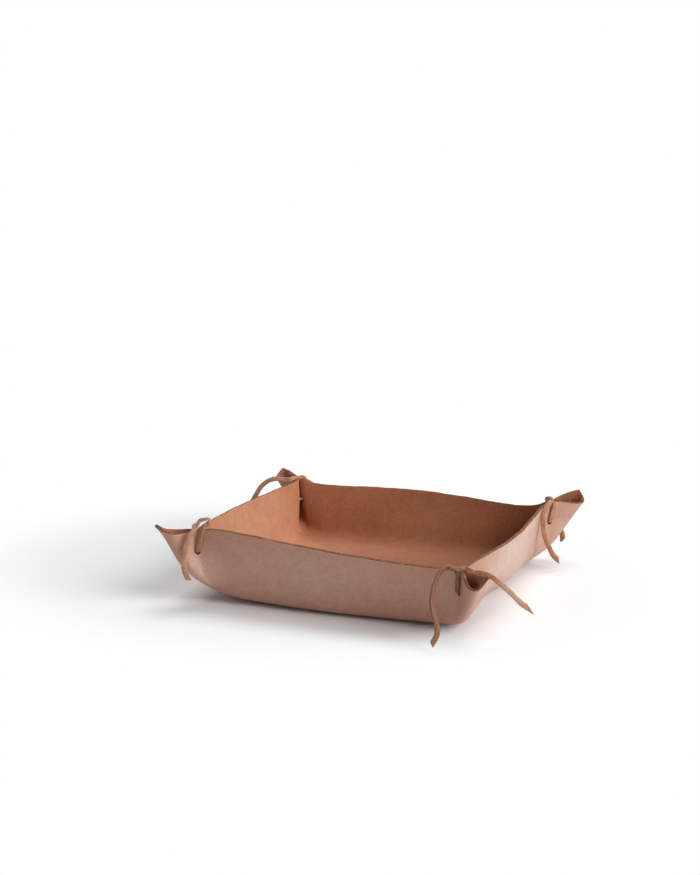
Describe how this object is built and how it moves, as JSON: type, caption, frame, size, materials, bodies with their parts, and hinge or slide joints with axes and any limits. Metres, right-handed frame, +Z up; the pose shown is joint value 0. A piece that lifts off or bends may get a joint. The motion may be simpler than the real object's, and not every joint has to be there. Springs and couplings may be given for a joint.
{
  "type": "laced leather catch-all tray",
  "caption": "Shallow open tray folded from one square of thick leather, its corners pinched outwards and tied with flat leather laces.",
  "frame": {"origin": "middle of the base's underside", "axes": "+Z up out of the open top, the front wall faces -Y, the right wall faces +X"},
  "size_m": [0.252, 0.2292, 0.0544],
  "materials": {
    "tray_leather": "vegetable-tanned, smooth grain outside, napped flesh side inside, raw cut edges",
    "lace_leather_front_left": "flat cut lace, waxed",
    "lace_leather_front_right": "flat cut lace, waxed",
    "lace_leather_back_right": "flat cut lace, waxed",
    "lace_leather_back_left": "flat cut lace, waxed"
  },
  "bodies": {
    "root": {"tray_sheet": "tray_leather", "lace_front_left": "lace_leather_front_left", "lace_front_right": "lace_leather_front_right", "lace_back_right": "lace_leather_back_right", "lace_back_left": "lace_leather_back_left"}
  },
  "joints": []
}
